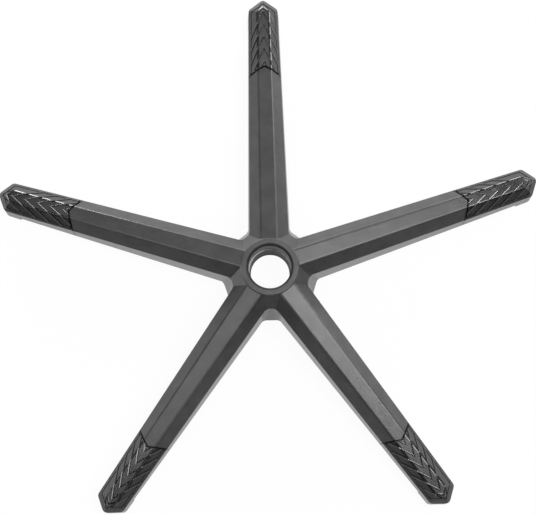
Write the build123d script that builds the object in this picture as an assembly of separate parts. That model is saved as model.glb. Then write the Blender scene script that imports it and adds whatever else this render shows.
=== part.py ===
from build123d import *
from math import atan2, cos, degrees, hypot, radians, sin, tan
import os

# Gaming chair base: a five-leg moulded base with a tapered steel hub sleeve and a clip-on cap on each toe.
# Millimetres. Z is up. The origin is on the hub axis, in the plane of the five caster socket mouths.
# Each leg is drawn along +X and then turned to its place. The first leg points along +Y.

# Plan of the base
leg_count = 5
first_leg_angle = 90.0
reach = 350.0            # hub axis to toe tip
caster_inset = 22.0      # toe tip back to caster socket axis

# Leg section. Widths are halves, and run straight from the hub axis to the toe corner
root_half_width = 24.5   # top edge of the skirt, on the hub axis
toe_half_width = 18.3    # the same, at the toe corner
root_flat_half = 10.3    # flat top strip, on the hub axis
toe_flat_half = 7.2      # the same, at the toe corner
toe_edge_height = 24.2   # top edge of the skirt at the toe corner
collar_step = 1.65       # collar top down to the flat strips beside it
bevel_angle = 48.2       # slope of the side and front bevels
skirt_draft = 3.2        # lean of the skirt walls
root_underside = 17.5    # foot of the skirts, on the hub axis
toe_underside = 7.2      # the same, beside the toe pad
crease_radius = 4.5      # rounding between the strip and the bevels
leg_wall = 3.2           # thickness of roof and skirts

# Toe
toe_point_angle = 53.5   # between the leg's axis and each toe chamfer
nose_radius = 6.7
pad_length = 30.0        # toe tip back to where the toe skirt reaches the floor

# Hub
hub_height = 74.7
hub_bottom = 15.2
collar_r = 34.8
collar_depth = 14.0
collar_chamfer = 0.8
hub_tube_r = 32.4
mouth_r = 27.9
mouth_depth = 4.0
throat_r = 25.6
web_reach = 48.2         # hub axis to the top edge of the web between two legs
web_drop = 18.3          # collar top down to that edge
web_draft = 13.8
web_round = 10.5         # rounding between the web and the skirts
web_tuck = 0.4           # how far that rounding runs into the skirts
web_half_width = 13.0
shoulder_angle = 47.4    # slope of the shoulder between two legs

# Hub sleeve
sleeve_bore_r = 24.4     # in the straight lead at the top
sleeve_drop = 29.0       # collar top down to the sleeve
sleeve_bottom = 17.4
sleeve_taper = 0.9       # half angle of the taper
sleeve_taper_length = 8.0
sleeve_wall = 2.2        # at the top, where the wall is thinnest
sleeve_chamfer = 0.9
sleeve_lip = 0.5         # how far the hub's lip below the sleeve stands inside its bore
sleeve_clearance = 0.03

# Caster sockets
socket_r = 5.5
socket_depth = 25.5
socket_boss_r = 10.4

# Ribs under the legs
rib_thickness = 2.2
rib_recess = 4.0         # foot of the skirts up to the foot of the ribs
brace_count = 4
brace_start_r = 40.0     # hub axis to the first pair of crossed ribs

# Toe caps
cap_length = 102.0       # toe tip back to the cap's inner corners
cap_notch = 9.3          # depth of the notch in the inner end
cap_corner_radius = 2.5
cap_side_inset = 1.6     # leg outline to cap edge, along the sides
cap_front_inset = 4.6    # the same, at the front
cap_thickness = 2.2
cap_proud = 0.3          # how far the cap stands above the leg
cap_gap = 0.3            # gap round the cap's sides and front
cap_end_gap = 1.0        # gap at the notched end
cap_floor = 2.4          # leg wall left under the cap
rim_width = 1.5
rim_height = 0.5
chevron_count = 4
chevron_back_inset = 34.5   # cap's inner corners to the tip of the first chevron
chevron_front_inset = 16.8  # toe tip back to the tip of the last chevron
chevron_half_angle = 26.0
chevron_width = 1.8
chevron_height = 0.6

# Clips that hold a cap
clip_count = 2
clip_inset = 4.7         # point of the cap's notch to the first clip
clip_pitch = 34.0
clip_width = 8.0
clip_thickness = 2.0
clip_barb = 1.0
clip_barb_lead = 0.7     # chamfer under the barb
clip_barb_height = 1.8
clip_clearance = 0.3
clip_underlap = 0.2      # gap between the barb and the floor that it hooks under

# Values worked out from the sizes above
bevel_slope = tan(radians(bevel_angle))
toe_slope = tan(radians(toe_point_angle))
toe_apex = reach + nose_radius * (1 / sin(radians(toe_point_angle)) - 1)
toe_corner = toe_apex - toe_half_width / toe_slope
toe_flat_height = toe_edge_height + bevel_slope * (toe_half_width - toe_flat_half)
leg_fall = (hub_height - collar_step - toe_flat_height) / (toe_corner - collar_r)
leg_start = (throat_r + hub_tube_r) / 2
web_height = hub_height - web_drop
caster_circle_r = reach - caster_inset
pad_start = reach - pad_length
seat_depth = cap_thickness - cap_proud
cap_start = reach - cap_length
thin_zone = cap_start - cap_end_gap - leg_wall
brace_pitch = (thin_zone - rib_thickness - brace_start_r) / brace_count
chevron_first_r = cap_start + chevron_back_inset
chevron_pitch = (reach - chevron_front_inset - chevron_first_r) / (chevron_count - 1)
clip_first_r = cap_start + cap_notch + clip_inset
sleeve_top = hub_height - sleeve_drop
sleeve_taper_top = sleeve_bottom + sleeve_taper_length
sleeve_bore_low_r = sleeve_bore_r - sleeve_taper_length * tan(radians(sleeve_taper))
sleeve_outer_r = sleeve_bore_r + sleeve_wall
block_low = -hub_height
block_high = 2 * hub_height
on_plane = 0.001


def strip_height(r):
    return toe_flat_height + leg_fall * (toe_corner - r)


def half_width(r):
    return root_half_width + (toe_half_width - root_half_width) * r / toe_corner


def flat_half(r):
    return root_flat_half + (toe_flat_half - root_flat_half) * r / toe_corner


def edge_height(r):
    return strip_height(r) - bevel_slope * (half_width(r) - flat_half(r))


def underside(r):
    return root_underside + (toe_underside - root_underside) * r / pad_start


def facing_out(a, b, c):
    """Plane through three points, with its normal turned away from the inside of the leg."""
    origin = Vector(*a)
    along = (Vector(*b) - origin).normalized()
    normal = along.cross(Vector(*c) - origin).normalized()
    inside = Vector(reach / 2, 0, 0)
    if (inside - origin).dot(normal) > 0:
        normal = normal * -1
    return Plane(origin=origin, x_dir=along, z_dir=normal)


def roof_planes():
    """The flat strip, then a side bevel and a front bevel for each side."""
    planes = [facing_out((0, 0, strip_height(0)), (toe_corner, 0, toe_flat_height), (0, 1, strip_height(0)))]
    for side in (1, -1):
        corner = (toe_corner, side * toe_half_width, toe_edge_height)
        crease_root = (0, side * flat_half(0), strip_height(0))
        crease_toe = (toe_corner, side * toe_flat_half, toe_flat_height)
        inward_x = -sin(radians(toe_point_angle))
        inward_y = -side * cos(radians(toe_point_angle))
        rise = (toe_corner + inward_x, corner[1] + inward_y, toe_edge_height + bevel_slope)
        planes.append(facing_out(crease_root, crease_toe, corner))
        planes.append(facing_out(corner, (toe_apex, 0, toe_edge_height), rise))
    return planes


def skirt_planes():
    """A side wall and a toe chamfer for each side, each leaning outwards to its foot."""
    lean = tan(radians(skirt_draft))
    planes = []
    for side in (1, -1):
        corner = (toe_corner, side * toe_half_width, toe_edge_height)
        side_foot = (toe_corner, corner[1] + side * lean * toe_edge_height, 0)
        planes.append(facing_out((0, side * half_width(0), edge_height(0)), corner, side_foot))
        foot_x = toe_corner + lean * toe_edge_height * sin(radians(toe_point_angle))
        foot_y = corner[1] + side * lean * toe_edge_height * cos(radians(toe_point_angle))
        planes.append(facing_out(corner, (toe_apex, 0, toe_edge_height), (foot_x, foot_y, 0)))
    return planes


def slab(start, end, low, high, width=4 * root_half_width):
    """Box from start to end along the leg, centred across it."""
    return Pos((start + end) / 2, 0, (low + high) / 2) * Box(end - start, width, high - low)


def lies_on(edge, plane):
    return abs(plane.to_local_coords(edge.center()).Z) < on_plane


def shared_edges(solid, planes):
    """Edges where two of the planes meet."""
    return [edge for edge in solid.edges() if sum(lies_on(edge, plane) for plane in planes) == 2]


def trimmed(block, planes):
    for plane in planes:
        block = split(block, bisect_by=plane, keep=Keep.BOTTOM)
    return block


def under_roof(lift, start, end, rounded=False):
    """Everything below the leg's roof, with the roof moved outwards by lift."""
    planes = [plane.offset(lift) for plane in roof_planes()]
    block = trimmed(slab(start, end, block_low, block_high), planes)
    if rounded:
        creases = [edge for edge in shared_edges(block, planes) if lies_on(edge, planes[0])]
        block = fillet(creases, crease_radius + lift)
    return block


def inside_skirts(inset, start, end):
    """Everything inside the skirt walls, with the walls moved inwards by inset."""
    planes = [plane.offset(-inset) for plane in skirt_planes()]
    block = trimmed(slab(start, end, block_low, block_high), planes)
    return fillet(shared_edges(block, planes), nose_radius - inset)


def cap_outline(grow, end_grow, rounded=True):
    """Plan of a cap, made larger by grow. The ends are rounded, and the corners between sides and front are not."""
    start = cap_start - end_grow
    inset = cap_side_inset - grow
    apex = toe_apex - (cap_front_inset - grow) / sin(radians(toe_point_angle))
    widening = (toe_half_width - root_half_width) / toe_corner
    corner = (apex * toe_slope - root_half_width + inset) / (toe_slope + widening)
    points = [(start, half_width(start) - inset), (corner, half_width(corner) - inset), (apex, 0)]
    points += [(x, -y) for x, y in points[1::-1]]
    points += [(start + cap_notch, 0)]
    outline = make_face(Polyline(*points, close=True))
    if rounded:
        ends = [vertex for vertex in outline.vertices() if abs(vertex.X - corner) > on_plane]
        outline = fillet(ends, cap_corner_radius)
    return outline


def column(outline):
    return extrude(Pos(0, 0, block_low) * outline, block_high - block_low, dir=(0, 0, 1))


def leg_outer():
    """One leg without its hollow: roof, skirts, toe pad and the seat for a cap."""
    end = reach + nose_radius
    leg = under_roof(0, leg_start, end, rounded=True) & inside_skirts(0, leg_start, end)
    leg -= slab(leg_start, end, block_low, 0)
    leg -= below_leg(0, pad_start) - boss(0)
    return leg - cap_seat()


def below_leg(lift, end):
    """Everything below the sloping foot of the skirts, or below a height lift above it."""
    points = [(leg_start, block_low), (end, block_low), (end, underside(end) + lift),
              (leg_start, underside(leg_start) + lift)]
    face = make_face(Polyline(*[(x, 0, z) for x, z in points], close=True))
    return extrude(face, 2 * root_half_width, both=True)


def boss(low):
    """Solid round boss for a caster socket."""
    return Pos(caster_circle_r, 0, (low + block_high) / 2) * Cylinder(socket_boss_r, block_high - low)


def cap_seat():
    return column(cap_outline(cap_gap, cap_end_gap)) - under_roof(-seat_depth, leg_start, toe_apex)


def leg_ribs():
    """Crossed ribs along the leg, straight ribs under the cap and ribs that carry the caster socket."""
    end = reach + nose_radius
    ribs = slab(caster_circle_r, end, 0, block_high, rib_thickness)
    for place in cross_rib_places():
        ribs += slab(place - rib_thickness / 2, place + rib_thickness / 2, 0, block_high)
    for index in range(brace_count):
        ribs += crossed_ribs(brace_start_r + index * brace_pitch)
    ribs -= below_leg(rib_recess, end)
    return ribs + Cylinder(hub_tube_r, 2 * block_high) + boss(0)


def cross_rib_places():
    """Straight ribs stand where the roof turns thin, midway between the clips and across the boss."""
    between_clips = clip_first_r + clip_pitch / 2
    return [thin_zone, between_clips, caster_circle_r]


def crossed_ribs(start):
    """An X of two ribs from wall to wall over one pitch."""
    middle = start + brace_pitch / 2
    run = brace_pitch
    across = 2 * half_width(middle)
    turn = degrees(atan2(across, run))
    bar = Box(hypot(run, across), rib_thickness, block_high)
    place = Pos(middle, 0, block_high / 2)
    return place * Rot(0, 0, turn) * bar + place * Rot(0, 0, -turn) * bar


def leg_hollow():
    """The open underside of a leg, around its ribs."""
    end = reach + nose_radius
    under = under_roof(-leg_wall, leg_start, thin_zone)
    under += under_roof(-seat_depth - cap_floor, thin_zone, end)
    return (under & inside_skirts(leg_wall, leg_start, end)) - leg_ribs()


def clip_places():
    return [clip_first_r + index * clip_pitch for index in range(clip_count)]


def clip_slots():
    """Openings in the floor under the cap, long enough for a barb to bend through."""
    slots = None
    for place in clip_places():
        start = place - clip_barb - clip_clearance
        end = place + clip_thickness + clip_clearance
        slot = slab(start, end, clip_foot(place), block_high, clip_width + 2 * clip_clearance)
        slots = slot if slots is None else slots + slot
    return slots


def clip_ledge(place):
    """Height of the underside of the floor beside a clip, at its lowest point over the barb."""
    upright = (seat_depth + cap_floor) * hypot(1, leg_fall)
    return strip_height(place + clip_thickness + clip_barb) - upright


def clip_foot(place):
    return clip_ledge(place) - clip_underlap - clip_barb_height


def socket_hole():
    """Blind hole for a caster stem."""
    return Pos(caster_circle_r, 0, socket_depth / 2) * Cylinder(socket_r, socket_depth)


def web_plane():
    """Drafted front of the web between two legs, drawn along their bisector."""
    lean = radians(web_draft)
    return Plane(origin=(web_reach, 0, web_height), x_dir=(0, 1, 0), z_dir=(cos(lean), 0, sin(lean)))


def shoulder_plane():
    slope = radians(shoulder_angle)
    return Plane(origin=(web_reach, 0, web_height), x_dir=(0, 1, 0), z_dir=(sin(slope), 0, cos(slope)))


def between_legs(inset):
    """The space between the skirts of two legs, with the skirts moved inwards by inset, and its two walls."""
    turn = 180 / leg_count
    walls = [plane.offset(-inset).location for plane in skirt_planes()]
    walls = [Plane(Rot(0, 0, -turn) * walls[0]), Plane(Rot(0, 0, turn) * walls[2])]
    space = slab(leg_start, web_reach + hub_height, block_low, block_high)
    for wall in walls:
        space = split(space, bisect_by=wall, keep=Keep.TOP)
    return space, walls


def shoulder_block():
    """The web and sloping shoulder between two legs. The web has rounded corners beside the skirts."""
    space, walls = between_legs(web_tuck)
    gap = split(space, bisect_by=web_plane(), keep=Keep.TOP)
    gap = fillet(shared_edges(gap, walls + [web_plane()]), web_round)
    block = slab(leg_start, web_reach + hub_height, root_underside, hub_height, 2 * web_half_width)
    return trimmed(block, [shoulder_plane()]) - gap


def shoulder_core():
    """The open underside of a shoulder, behind its web."""
    space, walls = between_legs(0)
    return trimmed(space, [web_plane().offset(-leg_wall), shoulder_plane().offset(-leg_wall)])


def turned(profile):
    """Solid of revolution about the hub axis from (radius, height) points."""
    face = make_face(Polyline(*[(r, 0, z) for r, z in profile], close=True))
    return revolve(face, axis=Axis.Z)


def hub_core():
    """The tube round the bore and the collar at its top."""
    core = Pos(0, 0, (hub_bottom + hub_height) / 2) * Cylinder(hub_tube_r, hub_height - hub_bottom)
    collar = Pos(0, 0, hub_height - collar_depth / 2) * Cylinder(collar_r, collar_depth)
    collar = chamfer(collar.edges().sort_by(Axis.Z)[-1], collar_chamfer)
    return core + collar


def hub_bore():
    """Tapered mouth, throat, the groove that holds the sleeve, and the lip below it."""
    seat_r = sleeve_outer_r + sleeve_clearance
    lip_r = sleeve_bore_r - sleeve_lip
    return turned([(0, block_high), (mouth_r, block_high), (mouth_r, hub_height),
                   (throat_r, hub_height - mouth_depth), (throat_r, sleeve_top + sleeve_clearance),
                   (seat_r, sleeve_top + sleeve_clearance), (seat_r, sleeve_bottom),
                   (lip_r, sleeve_bottom), (lip_r, block_low), (0, block_low)])


def leg_angles():
    return [first_leg_angle + index * 360 / leg_count for index in range(leg_count)]


def base_spider():
    """The moulded body: hub, legs, webs and shoulders fused, then hollowed from below."""
    outer = leg_outer()
    shoulder = shoulder_block()
    core = shoulder_core()
    hollow = leg_hollow() + clip_slots() + socket_hole()
    body = hub_core()
    for angle in leg_angles():
        body += Rot(0, 0, angle) * outer
        body += Rot(0, 0, angle + 180 / leg_count) * shoulder
    for angle in leg_angles():
        body -= Rot(0, 0, angle) * hollow
        body -= Rot(0, 0, angle + 180 / leg_count) * core
    return body - hub_bore()


def hub_sleeve():
    """Steel sleeve: a chamfered mouth and a straight lead above the taper that grips the gas lift."""
    return turned([(sleeve_bore_low_r, sleeve_bottom), (sleeve_outer_r, sleeve_bottom),
                   (sleeve_outer_r, sleeve_top), (sleeve_bore_r + sleeve_chamfer, sleeve_top),
                   (sleeve_bore_r, sleeve_top - sleeve_chamfer), (sleeve_bore_r, sleeve_taper_top)])


def chevron(tip):
    """Plan of one V-shaped tread bar, pointing at the toe."""
    half_angle = radians(chevron_half_angle)
    back = chevron_width / sin(half_angle)
    arm = root_half_width
    run = arm / tan(half_angle)
    points = [(tip, 0), (tip - run, arm), (tip - run - back, arm), (tip - back, 0)]
    points += [(x, -y) for x, y in points[2:0:-1]]
    return make_face(Polyline(*points, close=True))


def layer(low_lift, high_lift, rounded=False):
    """The space between two copies of the roof. The upper one may have rounded creases."""
    start = cap_start - 2 * cap_end_gap
    return under_roof(high_lift, start, toe_apex, rounded) - under_roof(low_lift, start, toe_apex)


def clips():
    """Barbed tongues under a cap."""
    tongues = None
    for place in clip_places():
        foot = clip_foot(place)
        tongue = slab(place, place + clip_thickness, foot, strip_height(place) - seat_depth, clip_width)
        barb_end = place + clip_thickness + clip_barb
        tongue += slab(place, barb_end, foot, foot + clip_barb_height, clip_width)
        lead = chamfer(tongue.edges().filter_by(Axis.Y).group_by(Axis.Z)[0].sort_by(Axis.X)[-1], clip_barb_lead)
        tongues = lead if tongues is None else tongues + lead
    return tongues


def toe_cap():
    """Cap shell with a raised rim, tread bars and clips."""
    plate = cap_outline(0, 0)
    field = cap_outline(-rim_width, -rim_width, rounded=False)
    cap = column(plate) & layer(-seat_depth, cap_proud, rounded=True)
    root = cap_proud - cap_thickness / 2
    cap += (column(plate) - column(field)) & layer(root, cap_proud + rim_height)
    bars = None
    for index in range(chevron_count):
        bar = column(chevron(chevron_first_r + index * chevron_pitch))
        bars = bar if bars is None else bars + bar
    cap += bars & column(field) & layer(root, cap_proud + chevron_height)
    return cap + clips()


def write_parts():
    os.makedirs("parts", exist_ok=True)
    export_step(base_spider(), "parts/base_spider.step")
    export_step(hub_sleeve(), "parts/hub_sleeve.step")
    cap = toe_cap()
    for number, angle in enumerate(leg_angles(), 1):
        export_step(Rot(0, 0, angle) * cap, f"parts/toe_cap_{number}.step")


write_parts()
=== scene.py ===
import math

import bmesh
import bpy
from mathutils import Matrix, Vector


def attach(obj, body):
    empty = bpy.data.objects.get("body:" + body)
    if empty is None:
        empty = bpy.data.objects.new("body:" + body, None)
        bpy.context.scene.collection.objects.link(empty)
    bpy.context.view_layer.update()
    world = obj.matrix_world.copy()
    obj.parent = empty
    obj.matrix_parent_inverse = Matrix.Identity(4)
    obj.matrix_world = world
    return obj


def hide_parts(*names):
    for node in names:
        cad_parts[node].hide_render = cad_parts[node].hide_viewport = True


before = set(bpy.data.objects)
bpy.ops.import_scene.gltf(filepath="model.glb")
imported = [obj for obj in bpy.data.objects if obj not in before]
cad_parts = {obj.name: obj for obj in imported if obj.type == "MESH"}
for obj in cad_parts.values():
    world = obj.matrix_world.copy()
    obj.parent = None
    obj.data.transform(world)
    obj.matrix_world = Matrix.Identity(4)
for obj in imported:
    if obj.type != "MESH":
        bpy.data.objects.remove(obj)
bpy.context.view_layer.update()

# Lengths are in metres, the camera's sensor in millimetres and its picture in pixels.
# Angles of the camera and the lamps are in degrees, all others in radians.

# Camera, fitted to the photograph
IMAGE_WIDTH = 536
IMAGE_HEIGHT = 514
SENSOR_WIDTH = 36.0
FOCAL_PIXELS = 1263.4
PRINCIPAL_X = 270.1
PRINCIPAL_Y = 273.0
CAMERA_ELEVATION = 81.16
CAMERA_AZIMUTH = -0.085
CAMERA_ROLL = -1.467
CAMERA_DISTANCE = 1.5526
CAMERA_TARGET = Vector((0.0, 0.0, 0.0242))
CAMERA_CLIP_START = 0.05
CAMERA_CLIP_END = 20.0

# Floor. Mirrors see its glow at full strength near the object and weaker away from it
FLOOR_SIZE = 6.0
FLOOR_COLOUR = (0.93, 0.93, 0.93, 1.0)
FLOOR_GLOW_SHARE = 0.95
FLOOR_NEAR_RADIUS = 0.36
FLOOR_FAR_RADIUS = 0.75
FLOOR_FAR_STRENGTH = 0.25

# Soft lamps round the base: name, azimuth, elevation, size, power in watts
LAMP_DISTANCE = 2.2
LAMPS = [
    ("back_low", 108.0, 12.0, 0.9, 34.0),
    ("back_right_low", 72.0, 12.0, 0.9, 18.0),
    ("right_low", 36.0, 12.0, 0.9, 13.0),
    ("left_low", 180.0, 12.0, 0.9, 13.0),
    ("right_middle", 350.0, 58.0, 0.6, 8.0),
    ("front_left_middle", 215.0, 50.0, 0.6, 3.6),
    ("left_high", 196.0, 73.0, 0.6, 5.6),
    ("back_right_high", 30.0, 68.0, 0.6, 4.2),
    ("right_high", 0.0, 74.0, 0.6, 13.5),
    ("front_high", 330.0, 74.0, 0.6, 2.2),
    ("back_middle", 90.0, 56.0, 0.6, 1.1),
    ("left_middle", 145.0, 61.0, 0.6, 0.7),
    ("front_glint", 307.0, 50.0, 0.4, 4.6),
    ("right_glint", 32.0, 41.0, 0.4, 4.6),
]

# Legs, the point of the notch in each cap's inner end, and the tread bars, measured from the hub's axis.
# They lie as in the part's source, with the slope of the notch rounded.
LEG_COUNT = 5
LEG_STEP = 2 * math.pi / LEG_COUNT
FIRST_LEG_ANGLE = math.radians(90.0)
SEAM_TIP = 0.2573
SEAM_SLOPE = 0.5
BAR_FIRST_TIP = 0.2825
BAR_PITCH = 0.0169
BAR_HALF_ANGLE = math.radians(26.0)
BAR_WIDTH = 0.0018

# Shadow line along the seam at the notched end of each cap. Its middle lies nearer the hub than the notch
SEAM_MIDDLE = 0.0005
SEAM_HALF_WIDTH = 0.0010
SEAM_SOFTNESS = 0.0004
SEAM_SHADE = 0.25

# Soft ridge along the tread bars, which fades where the bars go down the bevels
RIDGE_HALF_WIDTH = 0.0008
RIDGE_HEIGHT = 0.00058
RIDGE_FADE_START = 0.0070
RIDGE_FADE_END = 0.0085
RIDGE_BEVEL_SHARE = 0.15

# Darker and paler colour of each blotchy surface, and the part of the noise's range between them
NOISE_MIDDLE = (0.3, 0.7)
BODY_GREYS = ((0.034, 0.034, 0.035), (0.054, 0.054, 0.055))
CAP_BLACKS = ((0.014, 0.014, 0.015), (0.022, 0.022, 0.023))
DARK_STEEL = ((0.030, 0.030, 0.031), (0.060, 0.060, 0.061))
# Bright steel for faces that look up: partly bare metal, partly painted light from above
BARE_STEEL_AND_TOP_LIGHT = ((0.46, 0.46, 0.47), (0.60, 0.60, 0.61))

# Body plastic
BODY_MOTTLE_SCALE = 60.0
BODY_GRAIN_SCALE = 1400.0
BODY_GRAIN_HEIGHT = 0.00012
BODY_ROUGHNESS = (0.24, 0.36)
BODY_SHINE = 0.64

# Shine drops inside the hub's mouth and throat, which mirror the white floor. The drop is painted shade
# for the floor under the hub, which lies in shadow
BORE_RADIUS = 0.0283
BORE_SOFTNESS = 0.0002
BORE_SHINE = 0.019

# Cap plastic
CAP_HAZE_SCALE = 90.0
CAP_RIPPLE_SCALE = 260.0
CAP_RIPPLE_HEIGHT = 0.00002
CAP_ROUGHNESS = (0.17, 0.27)
CAP_SHINE = 1.0

# Sleeve steel, bright where the normal's Z is over the limit. The bright tops are partly bare steel and
# partly painted light falling from above
SLEEVE_RING_SCALE = 2600.0
SLEEVE_RING_HEIGHT = 0.00005
SLEEVE_STAIN_SCALE = 120.0
SLEEVE_ROUGHNESS = (0.30, 0.46)
SLEEVE_SHINE = 0.012
SLEEVE_UPWARD_LIMIT = 0.3

# Sockets for colours on the Mix node, by number because other sockets there have the same names
MIX_FACTOR = 0
MIX_FIRST = 6
MIX_SECOND = 7
MIX_RESULT = 2

# Rounding of the moulded and turned edges
SHARP_ANGLE = math.radians(24.0)
FLAT_ANGLE = math.radians(0.3)
WELD_DISTANCE = 1e-6
BODY_EDGE = 0.0005
CAP_EDGE = 0.00045
SLEEVE_EDGE = 0.0003
EDGE_SEGMENTS = 2
EDGE_PROFILE = 0.6


def new_material(name):
    """A material with only an output: the material, its node tree and the output's surface."""
    material = bpy.data.materials.new(name)
    material.use_nodes = True
    tree = material.node_tree
    tree.nodes.clear()
    output = tree.nodes.new("ShaderNodeOutputMaterial")
    return material, tree, output.inputs["Surface"]


def add(tree, kind, inputs=None, **settings):
    """A node with its settings, and with a number, a colour or a link on each named input."""
    node = tree.nodes.new(kind)
    for name, value in settings.items():
        setattr(node, name, value)
    for key, value in (inputs or {}).items():
        if isinstance(value, bpy.types.NodeSocket):
            tree.links.new(value, node.inputs[key])
        else:
            node.inputs[key].default_value = value
    return node


def object_place(tree):
    """Coordinates in the object's own frame, in metres."""
    return add(tree, "ShaderNodeTexCoord").outputs["Object"]


def split(tree, vector):
    """X, Y and Z of a vector."""
    return add(tree, "ShaderNodeSeparateXYZ", {"Vector": vector}).outputs


def maths(tree, operation, first, second=0.0):
    """One step of arithmetic on sockets or numbers."""
    return add(tree, "ShaderNodeMath", {0: first, 1: second}, operation=operation).outputs["Value"]


def noise(tree, coordinates, scale, detail, roughness):
    """Blotches of 0 to 1, with the scale in blotches per metre."""
    inputs = {"Vector": coordinates, "Scale": scale, "Detail": detail, "Roughness": roughness}
    return add(tree, "ShaderNodeTexNoise", inputs).outputs["Fac"]


def remap(tree, value, limits, source=(0.0, 1.0)):
    """A value carried from its source range onto new limits, and held at their ends."""
    inputs = {"Value": value, "From Min": source[0], "From Max": source[1],
              "To Min": limits[0], "To Max": limits[1]}
    return add(tree, "ShaderNodeMapRange", inputs).outputs["Result"]


def blotches(tree, factor, colours):
    """A darker and a paler colour, spread by a noise."""
    node = add(tree, "ShaderNodeValToRGB", {"Fac": factor})
    for element, position, colour in zip(node.color_ramp.elements, NOISE_MIDDLE, colours):
        element.position = position
        element.color = (*colour, 1.0)
    return node.outputs["Color"]


def scaled(tree, colour, factor):
    """A colour times a factor."""
    node = add(tree, "ShaderNodeVectorMath", {0: colour, "Scale": factor}, operation="SCALE")
    return node.outputs["Vector"]


def bump(tree, height, distance, base=None):
    """Normal of a surface raised by a height of 0 to 1 times a distance, on top of any base normal."""
    inputs = {"Height": height, "Distance": distance, "Strength": 1.0}
    if base is not None:
        inputs["Normal"] = base
    return add(tree, "ShaderNodeBump", inputs).outputs["Normal"]


def hub_distance(tree, where):
    """Distance from the hub's axis."""
    place = split(tree, where)
    squares = [maths(tree, "MULTIPLY", place[axis], place[axis]) for axis in ("X", "Y")]
    return maths(tree, "SQRT", maths(tree, "ADD", *squares))


def leg_place(tree, where):
    """Distances along the nearest leg and aside from its middle."""
    place = split(tree, where)
    radius = hub_distance(tree, where)
    round_hub = maths(tree, "ARCTAN2", place["Y"], place["X"])
    angle = maths(tree, "SUBTRACT", round_hub, FIRST_LEG_ANGLE - LEG_STEP / 2)
    from_leg = maths(tree, "SUBTRACT", maths(tree, "FLOORED_MODULO", angle, LEG_STEP), LEG_STEP / 2)
    along = maths(tree, "MULTIPLY", radius, maths(tree, "COSINE", from_leg))
    aside = maths(tree, "ABSOLUTE", maths(tree, "MULTIPLY", radius, maths(tree, "SINE", from_leg)))
    return along, aside


def seam_shade(tree, where):
    """Share of light, less than 1 along the seam between a leg and the notched end of its cap."""
    along, aside = leg_place(tree, where)
    place = maths(tree, "ADD", along, maths(tree, "MULTIPLY", aside, SEAM_SLOPE))
    distance = maths(tree, "ABSOLUTE", maths(tree, "SUBTRACT", place, SEAM_TIP - SEAM_MIDDLE))
    return remap(tree, distance, (SEAM_SHADE, 1.0), (SEAM_HALF_WIDTH, SEAM_HALF_WIDTH + SEAM_SOFTNESS))


def bar_ridges(tree, where):
    """Height, 0 to 1, of a soft ridge along each V-shaped tread bar of the caps."""
    along, aside = leg_place(tree, where)
    back = maths(tree, "MULTIPLY", aside, 1 / math.tan(BAR_HALF_ANGLE))
    middle = BAR_FIRST_TIP - BAR_WIDTH / 2 / math.sin(BAR_HALF_ANGLE) - BAR_PITCH / 2
    place = maths(tree, "SUBTRACT", maths(tree, "ADD", along, back), middle)
    offset = maths(tree, "SUBTRACT", maths(tree, "FLOORED_MODULO", place, BAR_PITCH), BAR_PITCH / 2)
    distance = maths(tree, "MULTIPLY", maths(tree, "ABSOLUTE", offset), math.sin(BAR_HALF_ANGLE))
    ridge = remap(tree, distance, (0.0, 1.0), (RIDGE_HALF_WIDTH, 0.0))
    fade = remap(tree, aside, (1.0, RIDGE_BEVEL_SHARE), (RIDGE_FADE_START, RIDGE_FADE_END))
    return maths(tree, "MULTIPLY", ridge, fade)


def body_shine(tree, where):
    """Level of shine: low inside the hub's bore and plain elsewhere."""
    wall = (BORE_RADIUS, BORE_RADIUS + BORE_SOFTNESS)
    return remap(tree, hub_distance(tree, where), (BORE_SHINE, BODY_SHINE), wall)


def body_plastic():
    """Matte dark grey nylon with a fine spark-eroded grain and faint flow mottling."""
    material, tree, surface = new_material("body_plastic")
    where = object_place(tree)
    mottle = noise(tree, where, BODY_MOTTLE_SCALE, detail=4.0, roughness=0.6)
    grain = noise(tree, where, BODY_GRAIN_SCALE, detail=3.0, roughness=0.6)
    seam = seam_shade(tree, where)
    shader = add(tree, "ShaderNodeBsdfPrincipled", {
        "Base Color": scaled(tree, blotches(tree, mottle, BODY_GREYS), seam),
        "Roughness": remap(tree, grain, BODY_ROUGHNESS),
        "Specular IOR Level": maths(tree, "MULTIPLY", body_shine(tree, where), seam),
        "Normal": bump(tree, grain, BODY_GRAIN_HEIGHT)})
    tree.links.new(shader.outputs["BSDF"], surface)
    return material


def cap_plastic():
    """Gloss black plastic with faint haze and ripple."""
    material, tree, surface = new_material("cap_plastic")
    where = object_place(tree)
    haze = noise(tree, where, CAP_HAZE_SCALE, detail=3.0, roughness=0.55)
    ripple = noise(tree, where, CAP_RIPPLE_SCALE, detail=2.0, roughness=0.5)
    ridges = bump(tree, bar_ridges(tree, where), RIDGE_HEIGHT)
    seam = seam_shade(tree, where)
    shader = add(tree, "ShaderNodeBsdfPrincipled", {
        "Base Color": scaled(tree, blotches(tree, haze, CAP_BLACKS), seam),
        "Roughness": remap(tree, haze, CAP_ROUGHNESS),
        "Specular IOR Level": maths(tree, "MULTIPLY", seam, CAP_SHINE),
        "Normal": bump(tree, ripple, CAP_RIPPLE_HEIGHT, base=ridges)})
    tree.links.new(shader.outputs["BSDF"], surface)
    return material


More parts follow.
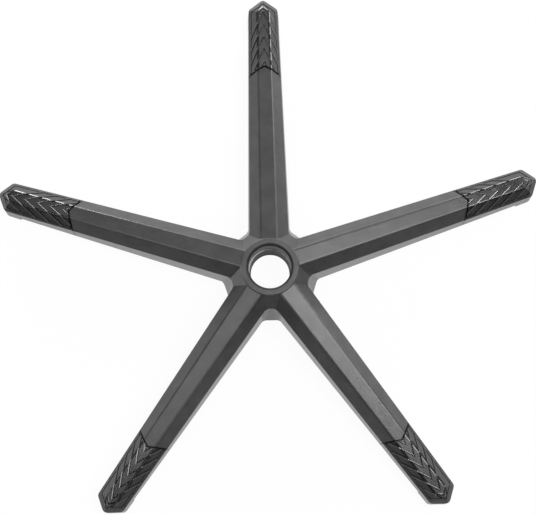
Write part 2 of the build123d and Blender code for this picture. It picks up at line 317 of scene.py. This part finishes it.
def sleeve_steel():
    """Blackened steel with fine rings from the lathe, bright on the faces that look up: partly bare steel,
    partly painted light from above.
    """
    material, tree, surface = new_material("sleeve_steel")
    places = add(tree, "ShaderNodeTexCoord").outputs
    height = add(tree, "ShaderNodeCombineXYZ", {"Z": split(tree, places["Object"])["Z"]}).outputs["Vector"]
    rings = noise(tree, height, SLEEVE_RING_SCALE, detail=2.0, roughness=0.6)
    stain = noise(tree, places["Object"], SLEEVE_STAIN_SCALE, detail=3.0, roughness=0.6)
    # Faces that look up get the bright steel and metal: partly painted light from above
    upward = maths(tree, "GREATER_THAN", split(tree, places["Normal"])["Z"], SLEEVE_UPWARD_LIMIT)
    colours = {MIX_FACTOR: upward,
               MIX_FIRST: blotches(tree, stain, DARK_STEEL),
               MIX_SECOND: blotches(tree, stain, BARE_STEEL_AND_TOP_LIGHT)}
    shader = add(tree, "ShaderNodeBsdfPrincipled", {
        "Base Color": add(tree, "ShaderNodeMix", colours, data_type="RGBA").outputs[MIX_RESULT],
        "Metallic": upward,
        "Roughness": remap(tree, rings, SLEEVE_ROUGHNESS),
        "Specular IOR Level": SLEEVE_SHINE,
        "Normal": bump(tree, rings, SLEEVE_RING_HEIGHT)})
    tree.links.new(shader.outputs["BSDF"], surface)
    return material


def floor_paint():
    """Pale floor that keeps a faint shadow. The camera sees it mostly plain white, and mirrors see it
    dim away from the object, as at the end of a studio sweep."""
    material, tree, surface = new_material("floor_paint")
    rays = add(tree, "ShaderNodeLightPath").outputs
    radius = hub_distance(tree, object_place(tree))
    fall = remap(tree, radius, (1.0, FLOOR_FAR_STRENGTH), (FLOOR_NEAR_RADIUS, FLOOR_FAR_RADIUS))
    strength = maths(tree, "MAXIMUM", fall, rays["Is Camera Ray"])
    camera_share = maths(tree, "MULTIPLY", rays["Is Camera Ray"], FLOOR_GLOW_SHARE)
    share = maths(tree, "MAXIMUM", camera_share, rays["Is Glossy Ray"])
    lit = add(tree, "ShaderNodeBsdfDiffuse", {"Color": FLOOR_COLOUR}).outputs["BSDF"]
    glow = add(tree, "ShaderNodeEmission", {"Strength": strength}).outputs["Emission"]
    mix = add(tree, "ShaderNodeMixShader", {"Fac": share, 1: lit, 2: glow})
    tree.links.new(mix.outputs["Shader"], surface)
    return material


def put(name, data):
    """A new object in the scene."""
    thing = bpy.data.objects.new(name, data)
    bpy.context.scene.collection.objects.link(thing)
    return thing


def dressed(node_name, material, edge_width):
    """A finished copy of a CAD node, with its triangles joined and its edges rounded."""
    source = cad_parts[node_name]
    mesh = bpy.data.meshes.new(f"{node_name}_finish")
    work = bmesh.new()
    work.from_mesh(source.data)
    bmesh.ops.remove_doubles(work, verts=work.verts, dist=WELD_DISTANCE)
    bmesh.ops.dissolve_limit(work, angle_limit=FLAT_ANGLE, verts=work.verts, edges=work.edges)
    edges = [e for e in work.edges if len(e.link_faces) == 2 and e.calc_face_angle() > SHARP_ANGLE]
    bmesh.ops.bevel(work, geom=edges, offset=edge_width, offset_type="OFFSET", segments=EDGE_SEGMENTS,
                    profile=EDGE_PROFILE, affect="EDGES", clamp_overlap=True, harden_normals=False)
    for face in work.faces:
        face.smooth = True
    work.to_mesh(mesh)
    work.free()
    mesh.materials.append(material)
    piece = put(f"{node_name}_finish", mesh)
    mesh.set_sharp_from_angle(angle=SHARP_ANGLE)
    even = piece.modifiers.new("even_normals", "WEIGHTED_NORMAL")
    even.keep_sharp = True
    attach(piece, "root")
    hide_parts(node_name)


def make_lamp(name, azimuth, elevation, size, power):
    """Soft lamp aimed at the hub. Azimuth 0 stands over the +X side, 90 over +Y."""
    data = bpy.data.lights.new(name, "AREA")
    data.shape = "DISK"
    data.size = size
    data.energy = power
    lamp = put(name, data)
    a = math.radians(azimuth)
    e = math.radians(elevation)
    place = Vector((math.cos(a) * math.cos(e), math.sin(a) * math.cos(e), math.sin(e))) * LAMP_DISTANCE
    lamp.location = place
    lamp.rotation_mode = "QUATERNION"
    lamp.rotation_quaternion = (-place).to_track_quat("-Z", "Y")


def make_camera():
    """Camera at the photograph's angle. Azimuth 0 stands over the -Y side."""
    azimuth = math.radians(CAMERA_AZIMUTH)
    elevation = math.radians(CAMERA_ELEVATION)
    roll = math.radians(CAMERA_ROLL)
    back = Vector((math.sin(azimuth) * math.cos(elevation), -math.cos(azimuth) * math.cos(elevation),
                   math.sin(elevation)))
    right = Vector((math.cos(azimuth), math.sin(azimuth), 0.0))
    up = back.cross(right)
    rolled_right = math.cos(roll) * right + math.sin(roll) * up
    rolled_up = math.cos(roll) * up - math.sin(roll) * right
    data = bpy.data.cameras.new("camera")
    data.sensor_width = SENSOR_WIDTH
    data.lens = FOCAL_PIXELS / IMAGE_WIDTH * SENSOR_WIDTH
    data.shift_x = (IMAGE_WIDTH / 2 - PRINCIPAL_X) / IMAGE_WIDTH
    data.shift_y = (PRINCIPAL_Y - IMAGE_HEIGHT / 2) / IMAGE_WIDTH
    data.clip_start = CAMERA_CLIP_START
    data.clip_end = CAMERA_CLIP_END
    camera = put("camera", data)
    turn = Matrix((rolled_right, rolled_up, back)).transposed()
    camera.matrix_world = Matrix.Translation(CAMERA_TARGET + back * CAMERA_DISTANCE) @ turn.to_4x4()
    bpy.context.scene.camera = camera


def make_floor():
    """Square floor in the plane that the base rests on."""
    mesh = bpy.data.meshes.new("floor")
    half = FLOOR_SIZE / 2
    corners = [(-half, -half, 0), (half, -half, 0), (half, half, 0), (-half, half, 0)]
    mesh.from_pydata(corners, [], [(0, 1, 2, 3)])
    mesh.materials.append(floor_paint())
    put("floor", mesh)


def make_world():
    """White behind everything that the camera sees. It lights nothing."""
    world = bpy.data.worlds.new("studio")
    world.use_nodes = True
    tree = world.node_tree
    background = tree.nodes["Background"]
    background.inputs["Color"].default_value = (1.0, 1.0, 1.0, 1.0)
    rays = add(tree, "ShaderNodeLightPath")
    tree.links.new(rays.outputs["Is Camera Ray"], background.inputs["Strength"])
    bpy.context.scene.world = world


make_camera()
make_floor()
make_world()
for lamp_values in LAMPS:
    make_lamp(*lamp_values)

body = body_plastic()
gloss = cap_plastic()
steel = sleeve_steel()
dressed("base_spider", body, BODY_EDGE)
dressed("hub_sleeve", steel, SLEEVE_EDGE)
for number in range(1, LEG_COUNT + 1):
    dressed(f"toe_cap_{number}", gloss, CAP_EDGE)

bpy.context.scene.view_settings.view_transform = "Standard"
